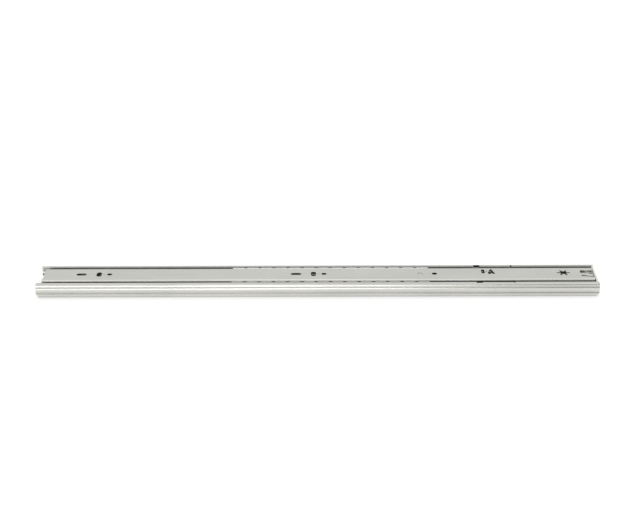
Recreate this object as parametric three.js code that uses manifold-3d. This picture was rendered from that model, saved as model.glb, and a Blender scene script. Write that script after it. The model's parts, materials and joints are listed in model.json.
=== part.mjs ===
// Full-extension ball-bearing drawer slide for side mounting, shown closed.
// Three nested steel channels run on two cages of balls. Millimetres throughout.
// X runs along the slide: the drawer opens towards -X, and the cabinet's back is at +X.
// Y runs across its width. Z is its depth: z = 0 is the face that is screwed to the
// cabinet's wall, and z = DEPTH is the face that is screwed to the drawer's side.
import * as THREE from 'three';
import { mergeVertices } from 'three/addons/utils/BufferGeometryUtils.js';
import Module from 'manifold-3d';

// ---- driving dimensions ----
const LENGTH = 500;
const WIDTH = 45;
const DEPTH = 12.7;
const SHEET = 1.2;
const MIDDLE_SHEET = 1.0;
const CAGE_SHEET = 0.5;
const BALL_RADIUS = 3.969 / 2;
const BALL_CLEARANCE = 0.06;
const GAP = 0.3;

// Half sections: where the ball rows run, measured from the middle plane and the cabinet face.
const OUTER_ROW = { y: WIDTH / 2 - SHEET - BALL_RADIUS - BALL_CLEARANCE, z: 6.5 };
const ROW_RISE = 1.6;
const MIDDLE_BEND = BALL_RADIUS + BALL_CLEARANCE + MIDDLE_SHEET / 2;
const INNER_ROW = {
  y: OUTER_ROW.y - Math.sqrt(4 * MIDDLE_BEND ** 2 - ROW_RISE ** 2),
  z: OUTER_ROW.z + ROW_RISE,
};
const MIDDLE_WEB_Z = 3.15;
const OUTER_CAGE_WEB_Z = 1.95;
const INNER_CAGE_WEB_Z = 4.4;
const OUTER_CAGE_Y = OUTER_ROW.y - 0.25;
const INNER_CAGE_Y = INNER_ROW.y + 0.42;
const CAGE_RIM_Y = 16.3;
const CAGE_RIM_Z = 11.75;
const LIP_TOP_Z = 12.6;
const LIP_EDGE_Y = 18.4;

// Where each member starts and ends along X in the closed slide.
const CABINET_SPAN = [-LENGTH / 2, LENGTH / 2];
const MIDDLE_SPAN = [-242, 228];
const DRAWER_SPAN = [-245, 247.3];
const MIDDLE_TRAVEL = 210;
const DRAWER_TRAVEL = 290;

// Cages: each moves half as far as the member that rolls on it.
const BALL_PITCH = 12.73;
const INNER_BALLS_PER_SIDE = 14;
const INNER_CAGE_SPAN = [-76.5, 99.5];
const OUTER_BALL_PITCH = 25.4;
const OUTER_BALLS_PER_SIDE = 10;
const OUTER_CAGE_SPAN = [-135, 121];

// Screw holes of the drawer member: two groups of slots, 192 mm apart, and a rear hole.
const SCREW_HOLE = 4.6;
const SCREW_SLOT = 9.5;
const HOLE_GROUP_SPACING = 192;
const DRAWER_GROUP_X = -211.4;
const GROUP_UPRIGHT_SLOT = 15.7;
const GROUP_ROUND_HOLE = 25.1;
const REAR_ROUND_HOLE_X = 104.7;

// Disconnect lever: pivot, hook and the stop tab that the hook catches at full travel.
const PIVOT_X = 92;
const HOOK_X = 54;
const LEVER_Z = [6.0, 10.6];
const PIN_RADIUS = 2;

const ARC_STEP = THREE.MathUtils.degToRad(11);
const HOLE_SEGMENTS = 24;

const wasm = await Module();
wasm.setup();

const COLOURS = {
  zinc: new THREE.MeshStandardMaterial({ color: 0xbebdb6, roughness: 0.38, metalness: 0.9 }),
  cage: new THREE.MeshStandardMaterial({ color: 0xcfcfca, roughness: 0.3, metalness: 0.9 }),
  ball: new THREE.MeshStandardMaterial({ color: 0xdcdcdc, roughness: 0.12, metalness: 1.0 }),
  nylon: new THREE.MeshStandardMaterial({ color: 0xe4e5dc, roughness: 0.55, metalness: 0.0 }),
  black: new THREE.MeshStandardMaterial({ color: 0x1c1c1e, roughness: 0.5, metalness: 0.0 }),
};

// ---- solids ----

function solidOf(geometry) {
  const bare = geometry.clone();
  bare.deleteAttribute('normal');
  bare.deleteAttribute('uv');
  const merged = mergeVertices(bare, 1e-5);
  return new wasm.Manifold(new wasm.Mesh({
    numProp: 3,
    vertProperties: Float32Array.from(merged.attributes.position.array),
    triVerts: Uint32Array.from(merged.index.array),
  }));
}

function geometryOf(solid) {
  const { vertProperties, triVerts } = solid.getMesh();
  const geometry = new THREE.BufferGeometry();
  geometry.setAttribute('position', new THREE.BufferAttribute(vertProperties, 3));
  geometry.setIndex(new THREE.BufferAttribute(triVerts, 1));
  geometry.computeVertexNormals();
  return geometry;
}

function cutAll(solid, cutters) {
  return cutters.reduce((left, cutter) => left.subtract(cutter), solid);
}

function joinAll(solids) {
  return solids.reduce((whole, next) => whole.add(next));
}

// A prism from an outline in plan (x, y), between two heights.
function planPrism(shape, z0, z1) {
  const geometry = new THREE.ExtrudeGeometry(shape, {
    depth: z1 - z0, bevelEnabled: false, curveSegments: HOLE_SEGMENTS / 2,
  });
  return solidOf(geometry.translate(0, 0, z0));
}

// A prism from an outline in section (y, z), between two places along X.
function sectionPrism(shape, x0, x1) {
  const geometry = new THREE.ExtrudeGeometry(shape, {
    depth: x1 - x0, bevelEnabled: false, curveSegments: HOLE_SEGMENTS / 2,
  });
  const alongX = new THREE.Matrix4().makeBasis(
    new THREE.Vector3(0, 1, 0), new THREE.Vector3(0, 0, 1), new THREE.Vector3(1, 0, 0));
  return solidOf(geometry.applyMatrix4(alongX).translate(x0, 0, 0));
}

function block(x0, x1, y0, y1, z0, z1) {
  const geometry = new THREE.BoxGeometry(x1 - x0, y1 - y0, z1 - z0);
  return solidOf(geometry.translate((x0 + x1) / 2, (y0 + y1) / 2, (z0 + z1) / 2));
}

function polygon(points) {
  return new THREE.Shape(points.map(([x, y]) => new THREE.Vector2(x, y)));
}

// An outline with round ends, long along X or along Y.
function slotShape(x, y, alongX, alongY) {
  const radius = Math.min(alongX, alongY) / 2;
  const dx = alongX / 2 - radius;
  const dy = alongY / 2 - radius;
  const shape = new THREE.Shape();
  if (dx > 0) {
    shape.absarc(x + dx, y, radius, -Math.PI / 2, Math.PI / 2);
    shape.absarc(x - dx, y, radius, Math.PI / 2, Math.PI * 1.5);
  } else if (dy > 0) {
    shape.absarc(x, y + dy, radius, 0, Math.PI);
    shape.absarc(x, y - dy, radius, Math.PI, Math.PI * 2);
  } else {
    shape.absarc(x, y, radius, 0, Math.PI * 2);
  }
  return shape;
}

// ---- folded sheet sections ----

// A line through the given corners, each [y, z, bend radius], with its bends as arcs.
// Every returned point carries the unit normal of the line there.
function bentLine(corners) {
  const line = [];
  const first = new THREE.Vector2(corners[0][0], corners[0][1]);
  const last = new THREE.Vector2(corners.at(-1)[0], corners.at(-1)[1]);
  const place = (point, direction) => {
    line.push({ point, normal: new THREE.Vector2(-direction.y, direction.x) });
  };
  let from = first;
  for (let i = 1; i < corners.length - 1; i += 1) {
    const corner = new THREE.Vector2(corners[i][0], corners[i][1]);
    const next = new THREE.Vector2(corners[i + 1][0], corners[i + 1][1]);
    const before = corner.clone().sub(from).normalize();
    const after = next.clone().sub(corner).normalize();
    const turn = Math.atan2(before.cross(after), before.dot(after));
    const radius = corners[i][2];
    const start = corner.clone().addScaledVector(before, -radius * Math.tan(Math.abs(turn) / 2));
    const side = Math.sign(turn);
    const centre = start.clone().add(
      new THREE.Vector2(-before.y, before.x).multiplyScalar(side * radius));
    if (i === 1) place(first, before);
    const steps = Math.max(2, Math.ceil(Math.abs(turn) / ARC_STEP));
    for (let k = 0; k <= steps; k += 1) {
      const angle = turn * k / steps;
      const point = start.clone().rotateAround(centre, angle);
      place(point, before.clone().rotateAround(new THREE.Vector2(), angle));
    }
    from = corner;
    if (i === corners.length - 2) place(last, after);
  }
  return line;
}

// The outline of a sheet of the given thickness, whose half section is mirrored about y = 0.
function foldedSheet(halfCorners, thickness) {
  const half = bentLine(halfCorners);
  const offset = (side) => half.map(({ point, normal }) => (
    point.clone().addScaledVector(normal, side * thickness / 2)));
  const mirrored = (points) => points.map((p) => new THREE.Vector2(-p.x, p.y)).reverse();
  const under = offset(-1);
  const over = offset(1);
  const outline = [
    ...mirrored(under).slice(0, -1), ...under.slice(1),
    ...over.slice(1).reverse(), ...mirrored(over.slice(1)).reverse(),
  ];
  return new THREE.Shape(outline);
}

// Half section of the cabinet member: flat web, square bend, a bulged ball track between two
// creases, and a square-shouldered lip that leans in a little and turns over the balls.
function cabinetSection() {
  const lipZ = LIP_TOP_Z - SHEET / 2;
  return [
    [0, SHEET / 2],
    [21.8, SHEET / 2, 0.9],
    [21.6, 3.1, 0.35],
    [21.1, 3.65, 0.35],
    [22.22, OUTER_ROW.z, 4.6],
    [21.3, 9.35, 0.4],
    [21.97, 9.95, 0.4],
    [21.65, lipZ - 0.6, 0.4],
    [LIP_EDGE_Y, lipZ],
  ];
}

// Half section of the middle member: its flange is an S between the two rows of balls.
function middleSection() {
  const tilt = Math.atan2(ROW_RISE, OUTER_ROW.y - INNER_ROW.y);
  const lowY = OUTER_ROW.y - MIDDLE_BEND;
  const lowTangent = MIDDLE_BEND * Math.tan(tilt / 2);
  const meetY = (OUTER_ROW.y + INNER_ROW.y) / 2;
  const meetZ = (OUTER_ROW.z + INNER_ROW.z) / 2;
  const topLean = THREE.MathUtils.degToRad(10);
  const highTangent = MIDDLE_BEND * Math.tan((tilt + topLean) / 2);
  const high = { y: meetY + highTangent * Math.sin(tilt), z: meetZ + highTangent * Math.cos(tilt) };
  const topZ = 10.2;
  return [
    [0, MIDDLE_WEB_Z],
    [lowY, MIDDLE_WEB_Z, 1.3],
    [lowY, OUTER_ROW.z + lowTangent, MIDDLE_BEND * 0.999],
    [high.y, high.z, MIDDLE_BEND * 0.999],
    [high.y - (topZ - high.z) * Math.tan(topLean), topZ],
  ];
}

// Half section of the drawer member: flat web, rounded shoulder and a track round the inner balls.
function drawerSection() {
  const bend = BALL_RADIUS + BALL_CLEARANCE + SHEET / 2;
  const webZ = DEPTH - SHEET / 2;
  const reach = bend * Math.SQRT2;
  const shoulderY = INNER_ROW.y - reach + (webZ - INNER_ROW.z);
  const footY = INNER_ROW.y - bend * Math.SQRT1_2 + 0.65;
  const footZ = INNER_ROW.z - bend * Math.SQRT1_2 - 0.65;
  return [
    [0, webZ],
    [shoulderY, webZ, 1.25],
    [INNER_ROW.y - reach, INNER_ROW.z, bend],
    [footY, footZ],
  ];
}

function outerCageSection() {
  return [
    [0, OUTER_CAGE_WEB_Z],
    [OUTER_CAGE_Y, OUTER_CAGE_WEB_Z, 0.9],
    [OUTER_CAGE_Y, 9.1],
  ];
}

function innerCageSection() {
  return [
    [0, INNER_CAGE_WEB_Z],
    [INNER_CAGE_Y, INNER_CAGE_WEB_Z, 0.9],
    [INNER_CAGE_Y, CAGE_RIM_Z, 0.5],
    [CAGE_RIM_Y, CAGE_RIM_Z],
  ];
}

const SIDES = [-1, 1];

// ---- cabinet member ----

// A pyramid that takes the web-side corner off one end of a flange.
function cornerCutter(endSign, side) {
  const endX = CABINET_SPAN[1];
  const corner = new THREE.Vector3(endX, WIDTH / 2, 0);
  const face = [[endX, WIDTH / 2, 3.6], [endX - 3.2, WIDTH / 2, 0], [endX, 15.5, 0]]
    .map((place) => new THREE.Vector3(...place));
  const middle = face[0].clone().add(face[1]).add(face[2]).divideScalar(3);
  const points = face.map((p) => middle.clone().addScaledVector(p.clone().sub(middle), 2.5));
  points.push(corner.clone().addScaledVector(corner.clone().sub(middle), 2));
  const flipped = endSign * side < 0;
  const faces = flipped ? [0, 2, 1, 0, 1, 3, 1, 2, 3, 2, 0, 3] : [0, 1, 2, 0, 3, 1, 1, 3, 2, 2, 3, 0];
  const geometry = new THREE.BufferGeometry();
  const positions = points.flatMap((p) => [endSign * p.x, side * p.y, p.z]);
  geometry.setAttribute('position', new THREE.Float32BufferAttribute(positions, 3));
  geometry.setIndex(faces);
  return solidOf(geometry);
}

function cabinetMember() {
  const notch = { x0: 141, x1: 146.5, deep: 1.6 };
  const relief = { x1: 174.5, deep: 0.5 };
  const slit = { width: 0.9, deep: 1.6 };
  const lipY = LIP_EDGE_Y;
  const stopTabs = { x: -241.6, thick: SHEET, half: 3, y: 12, top: 2.3 };
  const cutters = [];
  for (const side of SIDES) {
    const lipCut = (x0, x1, deep) => {
      const [low, high] = [side * (lipY - 1), side * (lipY + deep)].sort((a, b) => a - b);
      cutters.push(block(x0, x1, low, high, 9.4, DEPTH));
    };
    lipCut(notch.x0, notch.x1, notch.deep);
    if (side < 0) lipCut(notch.x1 - 0.1, relief.x1, relief.deep);
    lipCut(relief.x1 - 0.1, relief.x1 + slit.width, slit.deep);
    for (const end of SIDES) {
      cutters.push(cornerCutter(end, side));
      const x = end * LENGTH / 2;
      const lipCorner = polygon([
        [x + end, side * (lipY - 1)], [x + end, side * 21.5], [x - end * 1.8, side * (lipY - 1)],
      ]);
      cutters.push(planPrism(lipCorner, 9.4, DEPTH));
    }
  }
  // Screw holes of the cabinet side, 37 mm behind the front edge and further back.
  for (const x of [-213, -21, 139]) {
    cutters.push(planPrism(slotShape(x, 0, SCREW_HOLE, SCREW_HOLE), -1, 2));
    cutters.push(planPrism(slotShape(x + 16, 0, SCREW_HOLE, SCREW_SLOT), -1, 2));
    cutters.push(planPrism(slotShape(x + 32, 0, SCREW_SLOT, SCREW_HOLE), -1, 2));
  }
  // The bumper's two feet snap into these holes.
  for (const side of SIDES) {
    cutters.push(block(240.5, 245.5, side * 7 - 2, side * 7 + 2, -1, 2));
  }
  const channel = cutAll(sectionPrism(foldedSheet(cabinetSection(), SHEET), ...CABINET_SPAN), cutters);
  const tabs = SIDES.map((side) => block(
    stopTabs.x, stopTabs.x + stopTabs.thick,
    side * stopTabs.y - stopTabs.half, side * stopTabs.y + stopTabs.half, SHEET / 2, stopTabs.top));
  return joinAll([channel, ...tabs]);
}

// ---- middle member ----

function middleMember() {
  const webTop = MIDDLE_WEB_Z + MIDDLE_SHEET / 2;
  const channel = sectionPrism(foldedSheet(middleSection(), MIDDLE_SHEET), ...MIDDLE_SPAN);
  // The tab that the lever's hook catches, one sheet thick, standing on the web at the front.
  const hookTabX = HOOK_X - DRAWER_TRAVEL - GAP;
  const hookTab = block(hookTabX - SHEET, hookTabX, 0.5, 5.5, MIDDLE_WEB_Z, 8.8);
  // Low tabs that stop the inner cage when the drawer member is out.
  const cageStopX = INNER_CAGE_SPAN[0] - DRAWER_TRAVEL / 2 - GAP;
  const cageStops = SIDES.map((side) => block(
    cageStopX - SHEET, cageStopX, side * 9 - 2.5, side * 9 + 2.5, MIDDLE_WEB_Z, 5.1));
  // Tabs under the rear end that meet the outer cage when the middle member is out.
  const rearStopX = OUTER_CAGE_SPAN[1] + MIDDLE_TRAVEL / 2 + GAP;
  const rearStops = SIDES.map((side) => block(
    rearStopX, rearStopX + SHEET, side * 12 - 3, side * 12 + 3, 1.6, MIDDLE_WEB_Z));
  // Access holes for the screwdriver, and the windows that the hook tab was lanced from.
  const cutters = [-181, -37, 118].map((x) => planPrism(slotShape(x, 0, 9, 9), 2, webTop + 1));
  cutters.push(planPrism(slotShape(hookTabX + 3.2, 3, 4, 6.5), 2, webTop + 1));
  return joinAll([cutAll(channel, cutters), hookTab, ...cageStops, ...rearStops]);
}

// ---- drawer member ----

// A round hole with slits running out from it, which grips a pin pushed through it.
function starCutter(x, y, z0, z1) {
  const core = 3.1;
  const reach = 6.1;
  const armWidth = 1.7;
  const arms = [0, 1, 2].map((k) => {
    const arm = slotShape(0, 0, 2 * reach, armWidth);
    const geometry = new THREE.ExtrudeGeometry(arm, {
      depth: z1 - z0, bevelEnabled: false, curveSegments: 4,
    });
    return solidOf(geometry.rotateZ(k * Math.PI / 3).translate(x, y, z0));
  });
  return joinAll([planPrism(slotShape(x, y, 2 * core, 2 * core), z0, z1), ...arms]);
}

// The lanced window: an upright slot, a pip and a wedge-shaped hole side by side.
function windowCutters(z0, z1) {
  const slot = slotShape(148.5, 4.8, 3, 8.6);
  const pip = slotShape(151.4, 4, 1.5, 1.5);
  const wedge = polygon([[155.2, 9.6], [156.4, 9.6], [159.2, -0.8], [157, -0.8], [156.2, 1.6],
    [155.4, -0.8], [152.9, -0.8], [152.9, 2.4]]);
  return [planPrism(slot, z0, z1), planPrism(pip, z0, z1), planPrism(wedge, z0, z1)];
}

function drawerMember() {
  const [z0, z1] = [DEPTH - 2, DEPTH + 1];
  const holes = [0, HOLE_GROUP_SPACING].flatMap((shift) => {
    const x = DRAWER_GROUP_X + shift;
    return [
      slotShape(x, 0, SCREW_SLOT, SCREW_HOLE),
      slotShape(x + GROUP_UPRIGHT_SLOT, 0, SCREW_HOLE, SCREW_SLOT),
      slotShape(x + GROUP_ROUND_HOLE, 0, SCREW_HOLE, SCREW_HOLE),
      slotShape(x + (GROUP_UPRIGHT_SLOT + GROUP_ROUND_HOLE) / 2 - 0.3, 0, 1.1, 1.1),
    ];
  });
  holes.push(slotShape(REAR_ROUND_HOLE_X, 0, SCREW_HOLE, SCREW_HOLE));
  holes.push(slotShape(PIVOT_X, 0, 2 * (PIN_RADIUS + 0.2), 2 * (PIN_RADIUS + 0.2)));
  const cutters = holes.map((shape) => planPrism(shape, z0, z1));
  cutters.push(starCutter(220.4, 1.4, z0, z1), ...windowCutters(z0, z1));

  // The rear tongue is freed by a slanting near slit and a wide far one, and dips to the bumper.
  const rear = DRAWER_SPAN[1];
  const tongue = { x0: 236, y0: -3.6, y1: 0.7, drop: 1.1 };
  cutters.push(planPrism(polygon([
    [tongue.x0, tongue.y0], [tongue.x0, tongue.y0 - 2.1], [rear + 1, -8.6], [rear + 1, tongue.y0],
  ]), z0, z1));
  cutters.push(planPrism(polygon([
    [tongue.x0, tongue.y0], [rear + 1, tongue.y0], [rear + 1, 6.6], [tongue.x0 + 0.8, 6.6],
    [tongue.x0 - 0.6, 5.2], [tongue.x0 - 0.6, 2.2], [tongue.x0, 1.6],
  ]), z0, z1));
  // Rounded rear corners of the web.
  const cornerRadius = 1.8;
  for (const side of SIDES) {
    const edge = side * 16;
    const centreY = side * (13.6 - cornerRadius);
    const corner = new THREE.Shape();
    corner.moveTo(rear + 1, edge);
    corner.lineTo(rear - cornerRadius, edge);
    for (let k = 0; k <= 6; k += 1) {
      const angle = Math.PI / 12 * k;
      corner.lineTo(rear - cornerRadius + cornerRadius * Math.sin(angle),
        centreY + side * cornerRadius * Math.cos(angle));
    }
    corner.lineTo(rear + 1, centreY);
    cutters.push(planPrism(corner, 9.5, z1));
  }
  const channel = cutAll(sectionPrism(foldedSheet(drawerSection(), SHEET), ...DRAWER_SPAN), cutters);

  const tongueLine = [[tongue.x0 - 1, DEPTH - SHEET / 2], [tongue.x0 + 1.2, DEPTH - SHEET / 2, 1.5],
    [rear - 3.6, DEPTH - SHEET / 2 - tongue.drop, 1.5], [rear - 0.6, DEPTH - SHEET / 2 - tongue.drop]];
  const bent = bentLine(tongueLine);
  const side = (sign) => bent.map(({ point, normal }) => (
    point.clone().addScaledVector(normal, sign * SHEET / 2)));
  const strip = new THREE.ExtrudeGeometry(new THREE.Shape([...side(-1), ...side(1).reverse()]), {
    depth: tongue.y1 - tongue.y0, bevelEnabled: false,
  });
  // The strip is drawn in (x, z) and extruded along -Y, so it starts at the far edge.
  const upright = new THREE.Matrix4().makeBasis(
    new THREE.Vector3(1, 0, 0), new THREE.Vector3(0, 0, 1), new THREE.Vector3(0, -1, 0));
  const tongueSolid = solidOf(strip.applyMatrix4(upright).translate(0, tongue.y1, 0));

  // Small dips under the rear feet that push the inner cage home.
  const dipX = INNER_CAGE_SPAN[1] + DRAWER_TRAVEL / 2 + GAP;
  const footY = INNER_ROW.y - 1.1;
  const dips = SIDES.map((s) => block(
    dipX, rear, s * footY - 0.4, s * footY + 0.4, INNER_CAGE_WEB_Z - 0.1, 6.2));
  return joinAll([channel, tongueSolid, ...dips]);
}

// ---- ball cages and balls ----

function rowPlaces(count, pitch, span) {
  const middle = (span[0] + span[1]) / 2;
  return Array.from({ length: count }, (_, k) => middle + (k - (count - 1) / 2) * pitch);
}

const INNER_PLACES = rowPlaces(INNER_BALLS_PER_SIDE, BALL_PITCH, INNER_CAGE_SPAN);
const OUTER_PLACES = rowPlaces(OUTER_BALLS_PER_SIDE, OUTER_BALL_PITCH, OUTER_CAGE_SPAN);

// A short cylinder across both flanges of a cage at each ball.
function pocketCutters(places, row) {
  return places.map((x) => {
    const geometry = new THREE.CylinderGeometry(BALL_RADIUS + 0.15, BALL_RADIUS + 0.15, WIDTH, 14);
    return solidOf(geometry.translate(x, 0, row.z));
  });
}

function cageWindows(span, count, webZ) {
  const pitch = (span[1] - span[0]) / count;
  return Array.from({ length: count }, (_, k) => (
    planPrism(slotShape(span[0] + (k + 0.5) * pitch, 0, pitch - 16, 17), webZ - 1, webZ + 1)));
}

function outerCage() {
  const channel = sectionPrism(foldedSheet(outerCageSection(), CAGE_SHEET), ...OUTER_CAGE_SPAN);
  return cutAll(channel, [
    ...pocketCutters(OUTER_PLACES, OUTER_ROW),
    ...cageWindows(OUTER_CAGE_SPAN, 3, OUTER_CAGE_WEB_Z),
  ]);
}

function innerCage() {
  const notch = { width: 3.2, bottom: CAGE_RIM_Z - 0.6 };
  const channel = sectionPrism(foldedSheet(innerCageSection(), CAGE_SHEET), ...INNER_CAGE_SPAN);
  // Notches through the rim between the balls, open at its edge.
  const notches = INNER_PLACES.slice(1).flatMap((x) => SIDES.map((side) => {
    const middle = x - BALL_PITCH / 2;
    const [low, high] = [side * (INNER_CAGE_Y + 0.3), side * WIDTH].sort((a, b) => a - b);
    return block(middle - notch.width / 2, middle + notch.width / 2, low, high, notch.bottom, DEPTH);
  }));
  return cutAll(channel, [
    ...pocketCutters(INNER_PLACES, INNER_ROW), ...notches,
    ...cageWindows(INNER_CAGE_SPAN, 2, INNER_CAGE_WEB_Z),
  ]);
}

// ---- small parts ----

function disconnectLever() {
  const [z0, z1] = LEVER_Z;
  const boss = planPrism(slotShape(PIVOT_X, 0, 10, 10), z0, z1);
  // The arm runs forward beside the hook tab, widens into a finger pad and carries the hook.
  const arm = polygon([
    [PIVOT_X, 4.4], [PIVOT_X, -4.6], [HOOK_X + 14, -6.4], [24, -6.9], [21, -5.8], [20.2, -4.2],
    [21, -2.8], [24, -2.2], [HOOK_X, -2.2], [HOOK_X, 1.7], [HOOK_X + 3, 1.7], [HOOK_X + 14, -1.2],
    [PIVOT_X - 14, -0.4],
  ]);
  const pad = planPrism(slotShape(29, -4.7, 18, 5.6), z0, z1);
  const spring = polygon([
    [PIVOT_X, 4.4], [PIVOT_X, 2.6], [PIVOT_X + 12, 5.4], [PIVOT_X + 24, 7.5], [PIVOT_X + 26, 8.4],
    [PIVOT_X + 24, 8.8], [PIVOT_X + 12, 6.7],
  ]);
  const pinHole = planPrism(slotShape(PIVOT_X, 0, 2 * (PIN_RADIUS + 0.12), 2 * (PIN_RADIUS + 0.12)), 0, 20);
  const grips = [23, 26, 29, 32, 35].map((x) => block(x, x + 1.2, -9, -1, z0 - 1, z0 + 0.7));
  const solid = joinAll([
    boss, planPrism(arm, z0, z1), pad, planPrism(spring, z0 + 1, z1 - 1),
  ]);
  return cutAll(solid, [pinHole, ...grips]);
}

function leverRivet() {
  const headZ = LEVER_Z[0] - 0.2;
  const profile = [
    [0, headZ - 0.6], [3.4, headZ - 0.6], [3.6, headZ - 0.4], [3.6, headZ], [PIN_RADIUS, headZ],
    [PIN_RADIUS, DEPTH - 0.25], [PIN_RADIUS - 0.2, DEPTH - 0.08], [0, DEPTH - 0.08],
  ].map(([r, z]) => new THREE.Vector2(r, z));
  const geometry = new THREE.LatheGeometry(profile, HOLE_SEGMENTS);
  return solidOf(geometry.rotateX(Math.PI / 2).translate(PIVOT_X, 0, 0));
}

// Moulded bumper at the back: an end wall across the channel, a rest under the drawer member's
// tongue, a tubular post in its far slit and two blocks under its web.
function rearBumper() {
  const front = 235;
  const back = LENGTH / 2 - 0.6;
  const wallFront = DRAWER_SPAN[1] + 0.5;
  const post = { x: 242, y: 3.6, outer: 1.9, inner: 0.9, top: 11 };
  const base = block(front, back, -10, 10, SHEET + 0.25, 3.4);
  const wall = block(wallFront, back, -19.6, 19.6, SHEET + 0.25, 11);
  const crown = block(wallFront, back, -17.9, 17.9, 10, 12.3);
  const blocks = [[6.9, 10], [-10, -8.6]].map(([y0, y1]) => block(238, back, y0, y1, 3, 11));
  const rest = block(front + 4, back, -3.4, 0.4, 3, 9.8);
  const feet = SIDES.map((side) => block(241, 245, side * 7 - 1.6, side * 7 + 1.6, 0.25, 3));
  const tube = planPrism(slotShape(post.x, post.y, 2 * post.outer, 2 * post.outer), 3, post.top);
  const bore = planPrism(slotShape(post.x, post.y, 2 * post.inner, 2 * post.inner), 6, DEPTH);
  return cutAll(joinAll([base, wall, crown, ...blocks, rest, ...feet, tube]), [bore]);
}

// ---- assembly ----

const slide = new THREE.Group();

function add(name, solid, material) {
  const mesh = new THREE.Mesh(geometryOf(solid), material);
  mesh.name = name;
  slide.add(mesh);
}

function addBalls(prefix, places, row) {
  for (const side of SIDES) {
    const label = side < 0 ? 'near' : 'far';
    places.forEach((x, k) => {
      const ball = new THREE.Mesh(new THREE.IcosahedronGeometry(BALL_RADIUS, 1), COLOURS.ball);
      ball.name = `${prefix}_${label}_${String(k + 1).padStart(2, '0')}`;
      ball.position.set(x, side * row.y, row.z);
      slide.add(ball);
    });
  }
}

add('cabinet_member', cabinetMember(), COLOURS.zinc);
add('middle_member', middleMember(), COLOURS.zinc);
add('drawer_member', drawerMember(), COLOURS.zinc);
add('outer_ball_cage', outerCage(), COLOURS.cage);
add('inner_ball_cage', innerCage(), COLOURS.cage);
add('disconnect_lever', disconnectLever(), COLOURS.black);
add('lever_rivet', leverRivet(), COLOURS.zinc);
add('rear_bumper', rearBumper(), COLOURS.nylon);
addBalls('outer_ball', OUTER_PLACES, OUTER_ROW);
addBalls('inner_ball', INNER_PLACES, INNER_ROW);

export default slide;
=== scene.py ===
# Looks of the ball-bearing drawer slide. Metres, in the CAD model's own frame: X along the slide
# with the drawer opening towards -X, Y across it, Z up from the cabinet face.
import json
import math

import bmesh
import bpy
from mathutils import Matrix, Vector


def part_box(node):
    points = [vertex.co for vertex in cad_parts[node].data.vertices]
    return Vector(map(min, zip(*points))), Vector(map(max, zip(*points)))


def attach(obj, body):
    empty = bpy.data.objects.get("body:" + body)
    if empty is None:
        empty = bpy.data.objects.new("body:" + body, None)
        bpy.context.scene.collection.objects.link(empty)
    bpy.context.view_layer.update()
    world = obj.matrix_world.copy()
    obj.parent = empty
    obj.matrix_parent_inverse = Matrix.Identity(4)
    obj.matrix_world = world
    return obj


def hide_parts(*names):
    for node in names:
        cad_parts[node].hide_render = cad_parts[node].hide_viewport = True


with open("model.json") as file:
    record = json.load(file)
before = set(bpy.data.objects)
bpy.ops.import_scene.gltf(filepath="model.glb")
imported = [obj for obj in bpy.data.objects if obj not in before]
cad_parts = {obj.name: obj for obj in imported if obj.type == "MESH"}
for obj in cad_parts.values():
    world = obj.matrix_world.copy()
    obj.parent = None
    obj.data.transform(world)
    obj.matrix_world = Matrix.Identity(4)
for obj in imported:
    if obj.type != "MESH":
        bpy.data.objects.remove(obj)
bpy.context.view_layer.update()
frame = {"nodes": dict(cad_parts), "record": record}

# ---- driving values ----
IMAGE_WIDTH = 636
SENSOR_MM = 36.0
FOCAL_PIXELS = 1755.0
PITCH = math.radians(22.6)
CAMERA_PLACE = (0.0004, -1.4456, 0.6333)
CAMERA_ROLL = math.radians(-0.15)

EDGE_WIDTH = 0.00012
EDGE_ANGLE = math.radians(32.0)
WELD_DISTANCE = 1e-6

FLOOR_WIDTH = 12.0
FLOOR_DROP = 0.0002

# Colours: the room's light, the grease in the tracks, which also paints shade in the gaps and creases,
# the matt cut edges and the zinc plating.
WHITE = (1.0, 1.0, 1.0, 1.0)
# Track grease colour, also used as painted shade on the drawer shoulder, the cage flanges and the outer
# crease line.
GREASE_AND_SHADE = (0.085, 0.081, 0.073)
SHEARED = (0.78, 0.78, 0.76)
ZINC_LIGHT = (0.66, 0.655, 0.615)
ZINC_DARK = (0.54, 0.54, 0.515)
ZINC_ROUGHNESS = 0.19


# ---- node helpers ----

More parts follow.
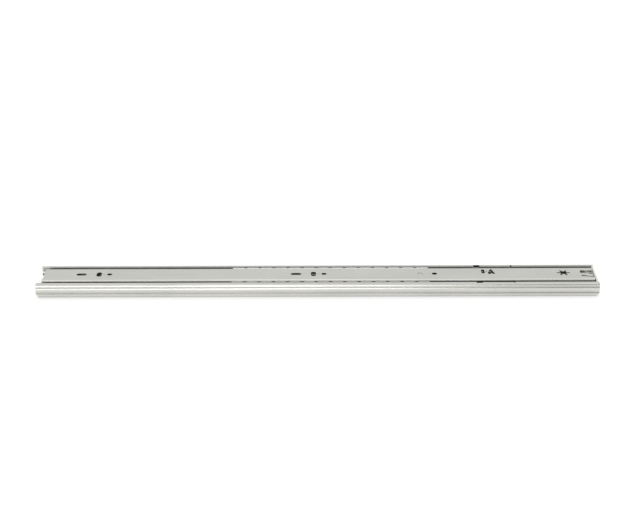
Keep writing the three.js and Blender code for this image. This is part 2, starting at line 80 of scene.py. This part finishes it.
class Shader:
    """A Principled material, with short calls for adding the nodes that drive it."""

    def __init__(self, name, colour, metallic, roughness):
        self.material = bpy.data.materials.new(name)
        self.material.use_nodes = True
        self.tree = self.material.node_tree
        self.surface = self.tree.nodes["Principled BSDF"]
        self.surface.inputs["Base Color"].default_value = (*colour, 1.0)
        self.surface.inputs["Metallic"].default_value = metallic
        self.surface.inputs["Roughness"].default_value = roughness
        self.place = self.tree.nodes.new("ShaderNodeTexCoord")

    def link(self, source, target):
        self.tree.links.new(source, target)

    def noise(self, scale, stretch=(1.0, 1.0, 1.0), detail=3.0, rough=0.5, distortion=0.0):
        mapping = self.tree.nodes.new("ShaderNodeMapping")
        mapping.inputs["Scale"].default_value = stretch
        self.link(self.place.outputs["Object"], mapping.inputs["Vector"])
        node = self.tree.nodes.new("ShaderNodeTexNoise")
        node.inputs["Scale"].default_value = scale
        node.inputs["Detail"].default_value = detail
        node.inputs["Roughness"].default_value = rough
        node.inputs["Distortion"].default_value = distortion
        self.link(mapping.outputs["Vector"], node.inputs["Vector"])
        return node.outputs["Fac"]

    def spread(self, value, low, high, new_low, new_high):
        node = self.tree.nodes.new("ShaderNodeMapRange")
        limits = (("From Min", low), ("From Max", high), ("To Min", new_low), ("To Max", new_high))
        for name, number in limits:
            node.inputs[name].default_value = number
        self.link(value, node.inputs["Value"])
        return node.outputs["Result"]

    def blend(self, factor, first, second):
        """Mixes two colours, or a colour and an earlier node's colour output."""
        node = self.tree.nodes.new("ShaderNodeMix")
        node.data_type = "RGBA"
        self.link(factor, node.inputs["Factor"])
        for socket, colour in ((node.inputs["A"], first), (node.inputs["B"], second)):
            if isinstance(colour, tuple):
                socket.default_value = (*colour, 1.0)
            else:
                self.link(colour, socket)
        return node.outputs["Result"]

    def bump(self, height, strength, distance, under=None):
        node = self.tree.nodes.new("ShaderNodeBump")
        node.inputs["Strength"].default_value = strength
        node.inputs["Distance"].default_value = distance
        self.link(height, node.inputs["Height"])
        if under is not None:
            self.link(under, node.inputs["Normal"])
        return node.outputs["Normal"]

    def combine(self, operation, first, second):
        """A Math node on two outputs, or on an output and a number."""
        node = self.tree.nodes.new("ShaderNodeMath")
        node.operation = operation
        for socket, value in zip(node.inputs, (first, second)):
            if isinstance(value, (int, float)):
                socket.default_value = value
            else:
                self.link(value, socket)
        return node.outputs["Value"]

    def along(self, axis):
        """The place along one axis of the CAD frame, in metres."""
        axes = self.tree.nodes.new("ShaderNodeSeparateXYZ")
        self.link(self.place.outputs["Object"], axes.inputs["Vector"])
        return axes.outputs[axis]

    def height(self):
        """The height above the cabinet face."""
        return self.along("Z")

    def off_middle(self):
        """The distance from the slide's middle plane."""
        return self.combine("ABSOLUTE", self.along("Y"), 0.0)

    def drive(self, name, output):
        self.link(output, self.surface.inputs[name])


# ---- materials ----

def rolled_zinc(name, light, dark, roughness, grease_and_shade_mask=None, sheared=None):
    """Zinc-plated strip: faint rolling lines along X, cloudy patches and a dull bloom.

    The optional grease mask builder marks, from the shader, the surfaces in the dark grease colour:
    grease in the ball tracks, and painted shade in the gaps and the outer crease.
    The optional edge mask builder marks the cut edges, which are matt.
    """
    shader = Shader(name, light, 1.0, roughness)
    lines = shader.noise(900.0, stretch=(0.012, 1.0, 1.0), detail=4.0, rough=0.65)
    clouds = shader.noise(34.0, stretch=(0.45, 1.0, 1.0), detail=3.0, rough=0.55, distortion=0.4)
    grain = shader.noise(2600.0, detail=2.0)
    tone = shader.spread(clouds, 0.3, 0.7, 0.0, 0.55)
    cloudy = shader.blend(tone, light, dark)
    streak = shader.spread(lines, 0.35, 0.75, 0.0, 0.30)
    colour = shader.blend(streak, cloudy, dark)
    if grease_and_shade_mask is not None:
        # Grease in the tracks and painted shade in the gaps and crease, both in the grease colour with
        # uneven noise.
        unevenness = shader.spread(shader.noise(260.0, stretch=(0.3, 1.0, 1.0)), 0.25, 0.75, 0.75, 1.0)
        mask = shader.combine("MULTIPLY", grease_and_shade_mask(shader), unevenness)
        colour = shader.blend(mask, colour, GREASE_AND_SHADE)
    if sheared is not None:
        edge = sheared(shader)
        colour = shader.blend(edge, colour, SHEARED)
        shader.drive("Metallic", shader.spread(edge, 0.0, 1.0, 1.0, 0.0))
    shader.drive("Base Color", colour)
    shader.drive("Roughness", shader.spread(lines, 0.25, 0.75, roughness - 0.05, roughness + 0.08))
    low = shader.bump(grain, 0.05, 0.00002)
    shader.drive("Normal", shader.bump(lines, 0.05, 0.00003, under=low))
    return shader.material


def between(shader, value, low, high, fade):
    """One between two places, falling to zero over a fade on either side."""
    over = shader.spread(value, low - fade, low, 0.0, 1.0)
    return shader.combine("MULTIPLY", over, shader.spread(value, high, high + fade, 1.0, 0.0))


def outer_track_grease_and_crease_shade(shader):
    """The outer channel's ball track, for its grease, and a thin painted-shade line in the crease
    outside it.
    """
    beside = between(shader, shader.off_middle(), 0.0190, 0.0206, 0.0004)
    inside = shader.combine("MULTIPLY", beside, between(shader, shader.height(), 0.0040, 0.0085, 0.0008))
    # A thin line of painted shade darkens the lower crease outside the flank.
    over = shader.spread(shader.height(), 0.0024, 0.0028, 0.0, 0.3)
    under = shader.spread(shader.height(), 0.0032, 0.0037, 1.0, 0.0)
    outside = shader.spread(shader.off_middle(), 0.0210, 0.0212, 0.0, 1.0)
    crease = shader.combine("MULTIPLY", shader.combine("MULTIPLY", over, under), outside)
    return shader.combine("MAXIMUM", inside, crease)


def lip_edges(shader):
    """The cut edges of the outer channel's lips."""
    within = shader.spread(shader.off_middle(), 0.01842, 0.01852, 1.0, 0.0)
    return shader.combine("MULTIPLY", within, shader.spread(shader.height(), 0.0105, 0.0110, 0.0, 1.0))


def drawer_shoulder_shade(shader):
    """Painted shade on the drawer member's shoulder and track, below the rounded edge of its web, where
    the gap falls dark.
    """
    beside = shader.spread(shader.off_middle(), 0.0122, 0.0126, 0.0, 1.0)
    return shader.combine("MULTIPLY", beside, shader.spread(shader.height(), 0.0110, 0.0119, 0.96, 0.0))


def cage_flange_shade(shader):
    """Painted shade on the cages' flanges round the balls, apart from the web and the bright rim."""
    beside = shader.spread(shader.off_middle(), 0.0125, 0.0140, 0.0, 1.0)
    return shader.combine("MULTIPLY", beside, shader.spread(shader.height(), 0.0108, 0.0114, 1.0, 0.0))


def middle_tracks(shader):
    """The middle member's ball tracks, apart from the web and the tops of its flanges."""
    beside = shader.spread(shader.off_middle(), 0.0125, 0.0140, 0.0, 1.0)
    return shader.combine("MULTIPLY", beside, between(shader, shader.height(), 0.0040, 0.0090, 0.0006))


def polished_ball(name):
    shader = Shader(name, (0.80, 0.80, 0.80), 1.0, 0.10)
    film = shader.noise(700.0, detail=3.0)
    shader.drive("Roughness", shader.spread(film, 0.3, 0.7, 0.07, 0.16))
    shader.drive("Base Color", shader.blend(shader.spread(film, 0.4, 0.7, 0.0, 0.35),
                                            (0.82, 0.82, 0.81), (0.60, 0.58, 0.52)))
    return shader.material


def moulded_plastic(name, light, dark, roughness, scatter):
    """A moulded part: fine texture from the tool, with slightly uneven gloss."""
    shader = Shader(name, light, 0.0, roughness)
    shader.surface.inputs["Subsurface Weight"].default_value = scatter
    shader.surface.inputs["Subsurface Radius"].default_value = (0.002, 0.002, 0.0015)
    shader.surface.inputs["Subsurface Scale"].default_value = 0.5
    mottle = shader.noise(120.0, detail=4.0)
    texture = shader.noise(3500.0, detail=2.0)
    shader.drive("Base Color", shader.blend(shader.spread(mottle, 0.35, 0.7, 0.0, 0.6), light, dark))
    shader.drive("Roughness", shader.spread(mottle, 0.3, 0.7, roughness - 0.06, roughness + 0.08))
    shader.drive("Normal", shader.bump(texture, 0.18, 0.00003))
    return shader.material


# ---- pieces ----

def dress(name, material):
    """Gives a CAD node its material, and rounds its cut edges."""
    node = frame["nodes"][name]
    node.data.materials.clear()
    node.data.materials.append(material)
    node.data.polygons.foreach_set("use_smooth", [True] * len(node.data.polygons))
    weld = node.modifiers.new("weld", "WELD")
    weld.merge_threshold = WELD_DISTANCE
    bevel = node.modifiers.new("edges", "BEVEL")
    bevel.width = EDGE_WIDTH
    bevel.segments = 2
    bevel.limit_method = "ANGLE"
    bevel.angle_limit = EDGE_ANGLE
    bevel.use_clamp_overlap = True
    bevel.harden_normals = True
    normals = node.modifiers.new("normals", "WEIGHTED_NORMAL")
    normals.keep_sharp = True


def ball(node_name, body, material):
    """A smooth bearing ball in place of the faceted CAD one."""
    low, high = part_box(node_name)
    mesh = bpy.data.meshes.new("smooth_" + node_name)
    made = bmesh.new()
    bmesh.ops.create_icosphere(made, subdivisions=4, radius=(high.z - low.z) / 2)
    bmesh.ops.translate(made, verts=made.verts, vec=(low + high) / 2)
    made.to_mesh(mesh)
    made.free()
    mesh.polygons.foreach_set("use_smooth", [True] * len(mesh.polygons))
    mesh.materials.append(material)
    piece = bpy.data.objects.new("smooth_" + node_name, mesh)
    bpy.context.scene.collection.objects.link(piece)
    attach(piece, body)
    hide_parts(node_name)


def build_pieces():
    zinc = ZINC_LIGHT, ZINC_DARK, ZINC_ROUGHNESS
    # The grease colour paints grease in the outer and middle tracks, and painted shade on the outer
    # crease, the drawer shoulder and the cage flanges.
    cabinet = rolled_zinc("cabinet_zinc", *zinc, grease_and_shade_mask=outer_track_grease_and_crease_shade, sheared=lip_edges)
    middle = rolled_zinc("middle_zinc", *zinc, grease_and_shade_mask=middle_tracks)
    drawer = rolled_zinc("drawer_zinc", *zinc, grease_and_shade_mask=drawer_shoulder_shade)
    cage = rolled_zinc("cage_steel", (0.72, 0.72, 0.70), (0.60, 0.60, 0.58), 0.20, grease_and_shade_mask=cage_flange_shade)
    rivet = rolled_zinc("rivet_steel", (0.64, 0.635, 0.60), (0.50, 0.50, 0.47), 0.34)
    lever = moulded_plastic("lever_plastic", (0.022, 0.022, 0.024), (0.032, 0.032, 0.034), 0.42, 0.0)
    nylon = moulded_plastic("bumper_nylon", (0.80, 0.81, 0.75), (0.72, 0.73, 0.67), 0.42, 0.15)
    steel = polished_ball("ball_steel")
    dress("cabinet_member", cabinet)
    dress("middle_member", middle)
    dress("drawer_member", drawer)
    for name in ("outer_ball_cage", "inner_ball_cage"):
        dress(name, cage)
    dress("lever_rivet", rivet)
    dress("disconnect_lever", lever)
    dress("rear_bumper", nylon)
    for body in ("outer_cage", "inner_cage"):
        for name in frame["record"]["behaviour"]["bodies"][body]:
            if "_ball_cage" not in name:
                ball(name, body, steel)


# ---- studio ----

def add_floor():
    half = FLOOR_WIDTH / 2
    corners = [(-half, -half, 0), (half, -half, 0), (half, half, 0), (-half, half, 0)]
    mesh = bpy.data.meshes.new("floor")
    mesh.from_pydata(corners, [], [(0, 1, 2, 3)])
    shader = Shader("floor", (0.92, 0.92, 0.92), 0.0, 0.9)
    shader.surface.inputs["Specular IOR Level"].default_value = 0.0
    shader.surface.inputs["Emission Color"].default_value = WHITE
    shader.surface.inputs["Emission Strength"].default_value = 0.3
    mesh.materials.append(shader.material)
    floor = bpy.data.objects.new("floor", mesh)
    floor.location.z = -FLOOR_DROP
    bpy.context.scene.collection.objects.link(floor)


def add_area(name, place, target, size, power):
    light = bpy.data.lights.new(name, "AREA")
    light.shape = "RECTANGLE"
    light.size, light.size_y = size
    light.energy = power
    holder = bpy.data.objects.new(name, light)
    holder.location = place
    holder.rotation_euler = (Vector(target) - Vector(place)).to_track_quat("-Z", "Y").to_euler()
    bpy.context.scene.collection.objects.link(holder)


def add_world():
    """A soft room, brighter behind the slide than in front of it."""
    world = bpy.data.worlds.new("studio")
    bpy.context.scene.world = world
    world.use_nodes = True
    tree = world.node_tree
    background = tree.nodes["Background"]
    place = tree.nodes.new("ShaderNodeTexCoord")
    axes = tree.nodes.new("ShaderNodeSeparateXYZ")
    tree.links.new(place.outputs["Generated"], axes.inputs["Vector"])
    ramp = tree.nodes.new("ShaderNodeMapRange")
    limits = (("From Min", -0.6), ("From Max", 0.5), ("To Min", 0.50), ("To Max", 0.88))
    for name, number in limits:
        ramp.inputs[name].default_value = number
    tree.links.new(axes.outputs["Y"], ramp.inputs["Value"])
    tree.links.new(ramp.outputs["Result"], background.inputs["Strength"])
    background.inputs["Color"].default_value = WHITE


def add_camera():
    lens = bpy.data.cameras.new("camera")
    lens.sensor_width = SENSOR_MM
    lens.lens = FOCAL_PIXELS / IMAGE_WIDTH * SENSOR_MM
    lens.clip_start = 0.05
    holder = bpy.data.objects.new("camera", lens)
    holder.location = CAMERA_PLACE
    holder.rotation_euler = (math.pi / 2 - PITCH, 0.0, 0.0)
    bpy.context.scene.collection.objects.link(holder)
    bpy.context.view_layer.update()
    holder.matrix_world = holder.matrix_world @ Matrix.Rotation(CAMERA_ROLL, 4, "Z")
    bpy.context.scene.camera = holder


def build_studio():
    add_floor()
    add_world()
    add_area("high_front", (-0.25, -1.6, 1.45), (-0.25, 0.0, 0.0), (1.2, 0.45), 2.6)
    add_area("low_front", (-0.29, -2.2, 0.16), (-0.29, 0.0, 0.0), (1.12, 0.32), 2.7)
    add_area("overhead", (0.0, 0.3, 2.2), (0.0, 0.0, 0.0), (3.0, 2.4), 13.0)
    add_camera()
    scene = bpy.context.scene
    scene.view_settings.view_transform = "Standard"
    scene.view_settings.look = "None"


build_pieces()
build_studio()
